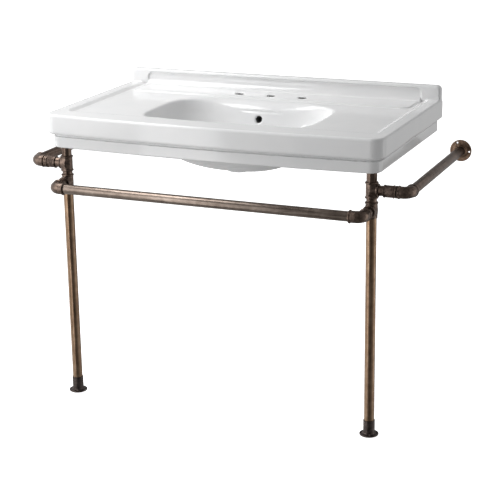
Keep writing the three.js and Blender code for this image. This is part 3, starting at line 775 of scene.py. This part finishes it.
glaze = glaze_material()
# a grainy dark grey that paints the shade inside the holes
painted_hole_shade = grainy_material("painted_hole_shade", HOLE_SHADE_TONES, 300, 0.9, 0.2)
leg_bronze = drawn_bronze("leg_bronze", LEG_TONES)
bar_bronze = drawn_bronze("bar_bronze", BAR_TONES)
arm_bronze = drawn_bronze("arm_bronze", ARM_TONES)
fitting_bronze = bronze_material("fitting_bronze", FITTING_TONES, EVENLY, FITTING_ROUGHNESS)
nut_bronze = bronze_material("nut_bronze", NUT_TONES, EVENLY, WORN_ROUGHNESS)
flange_bronze = bronze_material("flange_bronze", FLANGE_TONES, EVENLY, WORN_ROUGHNESS)
foot_bronze = bronze_material("foot_bronze", FOOT_TONES, EVENLY, FOOT_ROUGHNESS)
pad_rubber = grainy_material("pad_rubber", RUBBER_TONES, 400, 0.8, 0.3)


# ---------- Pieces ----------
def basin_piece():
    """The casting, glazed outside, with shade painted dark on the walls of its holes."""
    points, faces, normals = field_surface(basin, [stretch(*runs) for runs in BASIN_GRID])
    piece = new_piece("basin", points, faces.tolist(), glaze, normals)
    stand_for(piece, "console_basin")
    # the faces on the walls of the holes get the painted shade
    piece.data.materials.append(painted_hole_shade)
    middles = points[faces].mean(axis=1)
    piece.data.polygons.foreach_set("material_index", in_a_hole(*middles.T).astype(np.int32))


def outline_area(rows):
    """The area inside a closed outline, below zero when it runs clockwise."""
    after = np.roll(rows, -1, axis=0)
    return (rows[:, 0] * after[:, 1] - after[:, 0] * rows[:, 1]).sum() / 2


def turned_piece(name, profile, centre, axis, material, softness=0.5, ripple=None, around=PIPE_ROUND):
    """A closed solid turned from [radius, distance along the axis] corners, each eased by softness."""
    rows = np.array(eased(profile, softness))
    if outline_area(rows) < 0:
        rows = rows[::-1]  # faces look outwards when the outline runs anticlockwise
    angles = np.arange(around) * 2 * math.pi / around
    radius = np.repeat(rows[:, :1], around, axis=1)
    along = np.repeat(rows[:, 1:], around, axis=1)
    if ripple is not None:
        radius = radius + ripple(radius, along, angles[None, :])
    spun = (radius * np.cos(angles), radius * np.sin(angles), along)
    places = {"X": (2, 0, 1), "Y": (1, 2, 0), "Z": (0, 1, 2)}[axis]
    points = np.stack([spun[i].ravel() + centre[k] for k, i in enumerate(places)], axis=1)
    count = len(rows)
    faces = []
    for i in range(count):
        ring, after = i * around, (i + 1) % count * around
        for j in range(around):
            k = (j + 1) % around
            faces.append((ring + j, ring + k, after + k, after + j))
    piece = new_piece(name, points, faces, material)
    piece.data.set_sharp_from_angle(angle=math.radians(SHARP_ANGLE))
    return piece


def eased(profile, softness):
    """A closed outline with each corner replaced by a short curve."""
    corners = [Vector(corner) for corner in profile]
    outline = []
    for i, corner in enumerate(corners):
        before = corners[i - 1] - corner
        after = corners[(i + 1) % len(corners)] - corner
        cut = min(softness, before.length / 2.2, after.length / 2.2)  # less than half of either side
        start = corner + before.normalized() * cut
        end = corner + after.normalized() * cut
        for share in (0, 0.33, 0.67, 1):
            outline.append(start.lerp(corner, share).lerp(corner.lerp(end, share), share))
    return outline


def along_axis(node):
    """The axis that a turned CAD node lies along, its centre, radius and two ends."""
    low, high = node_box(node)
    sides = high - low
    unevenness = [abs(sides[(i + 1) % 3] - sides[(i + 2) % 3]) for i in range(3)]
    axis = int(np.argmin(unevenness))  # a turned node is equally wide both ways across its axis
    centre = (low + high) / 2
    radius = sides[(axis + 1) % 3] / 2
    ends = (low[axis], high[axis])
    centre[axis] = 0
    return "XYZ"[axis], centre, radius, ends


def pipe_piece(node, finish):
    """A length of pipe, its ends eased."""
    axis, centre, radius, (start, end) = along_axis(node)
    bore = radius - PIPE_WALL
    profile = [(bore, start), (radius, start), (radius, end), (bore, end)]
    piece = turned_piece(f"{node}_drawn", profile, centre, axis, finish[axis])
    stand_for(piece, node)


def cast_piece(node, field, step, material):
    """A cast fitting in the CAD node's box."""
    low, high = node_box(node)
    grid = [stretch((low[i] - 2 * step, high[i] + 2 * step, step)) for i in range(3)]
    points, faces, normals = field_surface(field, grid)
    piece = new_piece(f"{node}_cast", points, faces.tolist(), material, normals)
    stand_for(piece, node)


def nut_piece(node, side):
    """The union's ring nut: a plain shoulder and a knurled band."""
    axis, centre, _, ends = along_axis(node)
    start, end = sorted(ends, key=abs)
    shoulder = start + side * NUT_SHOULDER
    bore = SLIM_PIPE + GAP
    rows = [(bore, start), (NUT_RADIUS + 1, start), (NUT_RADIUS + 1, shoulder), (NUT_RADIUS, shoulder)]
    band = np.linspace(shoulder + side, end - side, KNURL_ROWS)
    rows += [(NUT_RADIUS, along) for along in band]
    rows += [(NUT_RADIUS - 0.6, end), (bore, end)]

    def knurl(radius, along, angles):
        grip = np.where((along - band[1]) * (along - band[-2]) < 0, 1.0, 0.0) * (radius > NUT_RADIUS - 0.1)
        around, twist = NUT_RIDGES * angles, KNURL_TWIST * along
        return -KNURL_DEPTH / 2 * grip * (1 - np.cos(around + twist) * np.cos(around - twist))

    piece = turned_piece(f"{node}_knurled", rows, centre, axis, nut_bronze, 0.3, knurl, 3 * PIPE_ROUND)
    stand_for(piece, node)


def tail_piece(node, side):
    """The union's tail: a spigot, a collar with two beads, and the end that enters the elbow."""
    axis, centre, collar, ends = along_axis(node)
    start, end = sorted(ends, key=abs)
    nut_end = max(abs(value) for value in along_axis(node.replace("tail", "nut"))[3])
    rows = [(TAIL_BORE, start), (SLIM_PIPE, start)]
    rows += [(collar + height, side * (nut_end + reach)) for reach, height in TAIL_COLLAR]
    rows += [(SLIM_PIPE, side * (nut_end + TAIL_END)), (SLIM_PIPE, end), (TAIL_BORE, end)]
    piece = turned_piece(f"{node}_turned", rows, centre, axis, fitting_bronze, 0.6)
    stand_for(piece, node)


def cap_piece(node):
    """The cap that closes the leg's top pipe."""
    axis, centre, radius, (bottom, top) = along_axis(node)
    bore = LEG_PIPE + GAP
    inside = top - CAP_WALL
    rows = [(bore, bottom), (radius, bottom), (radius, top)]
    rows += [(PINHOLE, top), (PINHOLE, inside), (bore, inside)]
    stand_for(turned_piece(f"{node}_turned", rows, centre, axis, fitting_bronze, 0.8), node)


def pad_piece(node):
    """The rubber pad on the cap, its rim slightly bulged."""
    axis, centre, radius, (bottom, top) = along_axis(node)
    flat = radius - PAD_BULGE
    rows = [(PINHOLE, bottom), (flat, bottom), (radius, (bottom + top) / 2), (flat, top), (PINHOLE, top)]
    stand_for(turned_piece(f"{node}_moulded", rows, centre, axis, pad_rubber, 0.8), node)


def stand_side(side_name, side):
    """One side of the stand. side is -1 on the left and +1 on the right, seen from the front."""

    def node(name):
        return f"{side_name}_{name}"

    leg = node_centre(node("leg_pipe"))
    arm = node_centre(node("wall_arm"))
    bar = node_centre("towel_bar")
    out, inward = ("+X", "-X") if side > 0 else ("-X", "+X")
    pipe_piece(node("leg_pipe"), leg_bronze)
    for name in ("neck_nipple", "top_nipple", "bar_nipple", "arm_nipple", "wall_arm"):
        pipe_piece(node(name), arm_bronze)
    nut_piece(node("union_nut"), side)
    tail_piece(node("union_tail"), side)
    cap_piece(node("top_cap"))
    pad_piece(node("rubber_pad"))

    run = [("-Z", TEE_RUN, LEG_PIPE), ("+Z", TEE_RUN, LEG_PIPE)]
    lower = (leg[0], leg[1], bar[2])
    upper = (leg[0], leg[1], arm[2])
    bar_corner = (leg[0], bar[1], bar[2])
    arm_corner = (arm[0], leg[1], arm[2])
    lower_tee = tee_field(lower, [*run, ("-Y", BAR_BRANCH, SLIM_PIPE)], plain=("-Z",))
    upper_tee = tee_field(upper, [*run, (out, ARM_BRANCH, SLIM_PIPE)])
    bar_mouths = [("+Y", ELBOW_LEG, SLIM_PIPE), (inward, BAR_ELBOW_LEG, SLIM_PIPE)]
    arm_mouths = [("+Y", ELBOW_LEG, SLIM_PIPE), (inward, ELBOW_LEG, SLIM_PIPE)]
    castings = {
        "lower_tee": lower_tee,
        "upper_tee": upper_tee,
        "bar_elbow": elbow_field(bar_corner, bar_mouths, ELBOW_BEND),
        "arm_elbow": elbow_field(arm_corner, arm_mouths, ELBOW_BEND),
    }
    for name, field in castings.items():
        cast_piece(node(name), field, CASTING_STEP, fitting_bronze)
    flange_angles = [angle if side > 0 else 180 - angle for angle in FLANGE_SCREWS]
    flange = wall_flange_field((arm[0], 0, arm[2]), flange_angles)
    cast_piece(node("wall_flange"), flange, FLANGE_STEP, flange_bronze)
    foot = floor_flange_field(leg)
    cast_piece(node("floor_flange"), foot, FLANGE_STEP, foot_bronze)


basin_piece()
for side_name, side in (("left", -1), ("right", 1)):
    stand_side(side_name, side)
pipe_piece("towel_bar", bar_bronze)


# ---------- The stage ----------
LEFT_GLOW = (-1.2, 0, 0)  # where each broad glow is brightest, its length being its strength there
RIGHT_GLOW = (0.53, 0.38, 0)
DIM_GLOW = 0.14
FLOOR_REACH = 40  # metres from the middle to each edge
BACKDROP_HEIGHT = 30
FLOOR_DROP = 0.013  # keeps the floor clear of the feet when they are let down to their limit
LIGHTS = (  # name, place, target, width and height, all in metres in the frame, and watts
    ("key", (-1.9, -2.0, 0.3), (-0.3, -0.5, 0.0), (1.8, 1.6), 15),
    ("strip", (-1.0, -2.45, -0.45), (-0.2, -0.5, -0.3), (0.5, 2.6), 11),
    ("top", (-1.1, -0.5, 1.5), (-0.2, -0.3, 0.0), (1.8, 0.7), 26),
    ("fill", (2.3, 0.1, -0.5), (0.4, -0.4, -0.4), (0.6, 2.4), 5),
)
CAMERA_PLACE = (1.621, -4.133, 0.859)
CAMERA_LENS = 105.1
CAMERA_TURN = 22.78  # degrees left of straight at the wall; then down, and round the line of sight
CAMERA_TILT = 16.89
CAMERA_ROLL = -0.771


def add_camera():
    """A long lens at eye height on the front right, looking down at the sink."""
    camera = bpy.data.objects.new("camera", bpy.data.cameras.new("camera"))
    camera.data.lens = CAMERA_LENS
    turn = Matrix.Rotation(math.radians(CAMERA_TURN), 4, "Z")
    tilt = Matrix.Rotation(math.pi / 2 - math.radians(CAMERA_TILT), 4, "X")
    roll = Matrix.Rotation(math.radians(CAMERA_ROLL), 4, "Z")
    camera.matrix_world = Matrix.Translation(CAMERA_PLACE) @ turn @ tilt @ roll
    bpy.context.scene.collection.objects.link(camera)
    bpy.context.scene.camera = camera


def add_light(name, place, target, size, power):
    """A rectangular lamp that faces its target."""
    light = bpy.data.lights.new(name, "AREA")
    light.shape = "RECTANGLE"
    light.size, light.size_y = size
    light.energy = power
    lamp = bpy.data.objects.new(name, light)
    lamp.location = place
    lamp.rotation_euler = (Vector(target) - Vector(place)).to_track_quat("-Z", "Y").to_euler()
    bpy.context.scene.collection.objects.link(lamp)


def add_floor():
    """A pale floor that doesn't light the sink. Its far edges turn up, so that no view looks past it."""
    material, nodes, links = shader_material("floor")
    shader = nodes["Principled BSDF"]
    shader.inputs["Base Color"].default_value = (0.9, 0.9, 0.9, 1)
    shader.inputs["Roughness"].default_value = 0.9
    shader.inputs["Emission Color"].default_value = (1, 1, 1, 1)
    shader.inputs["Emission Strength"].default_value = 0.95
    corners = [
        (x * FLOOR_REACH, y * FLOOR_REACH, height)
        for height in (FLOOR * MM - FLOOR_DROP, BACKDROP_HEIGHT)
        for x, y in ((-1, -1), (1, -1), (1, 1), (-1, 1))
    ]
    sides = [(i, i + 4, (i + 1) % 4 + 4, (i + 1) % 4) for i in range(4)]
    mesh = bpy.data.meshes.new("floor")
    mesh.from_pydata(corners, [], [(0, 1, 2, 3), *sides])
    mesh.materials.append(material)
    floor = bpy.data.objects.new("floor", mesh)
    floor.visible_diffuse = False
    floor.visible_glossy = False
    floor.visible_shadow = False
    bpy.context.scene.collection.objects.link(floor)


def add_world():
    """A dim studio with a strong broad glow from the left and a weaker one from behind on the right."""
    world = bpy.data.worlds.new("studio")
    world.use_nodes = True
    nodes, links = world.node_tree.nodes, world.node_tree.links
    direction = nodes.new("ShaderNodeTexCoord").outputs["Generated"]
    brighter = nodes.new("ShaderNodeMath")
    brighter.operation = "MAXIMUM"
    for socket, towards in zip(brighter.inputs, (LEFT_GLOW, RIGHT_GLOW)):
        glow = nodes.new("ShaderNodeVectorMath")
        glow.operation = "DOT_PRODUCT"
        links.new(direction, glow.inputs[0])
        glow.inputs[1].default_value = towards
        links.new(glow.outputs["Value"], socket)
    never_dark = nodes.new("ShaderNodeMath")
    never_dark.operation = "MAXIMUM"
    never_dark.inputs[1].default_value = DIM_GLOW
    links.new(brighter.outputs["Value"], never_dark.inputs[0])
    background = nodes["Background"]
    background.inputs["Color"].default_value = (1, 1, 1, 1)
    links.new(never_dark.outputs["Value"], background.inputs["Strength"])
    bpy.context.scene.world = world
    bpy.context.scene.view_settings.view_transform = "Standard"


add_camera()
add_world()
add_floor()
for light in LIGHTS:
    add_light(*light)
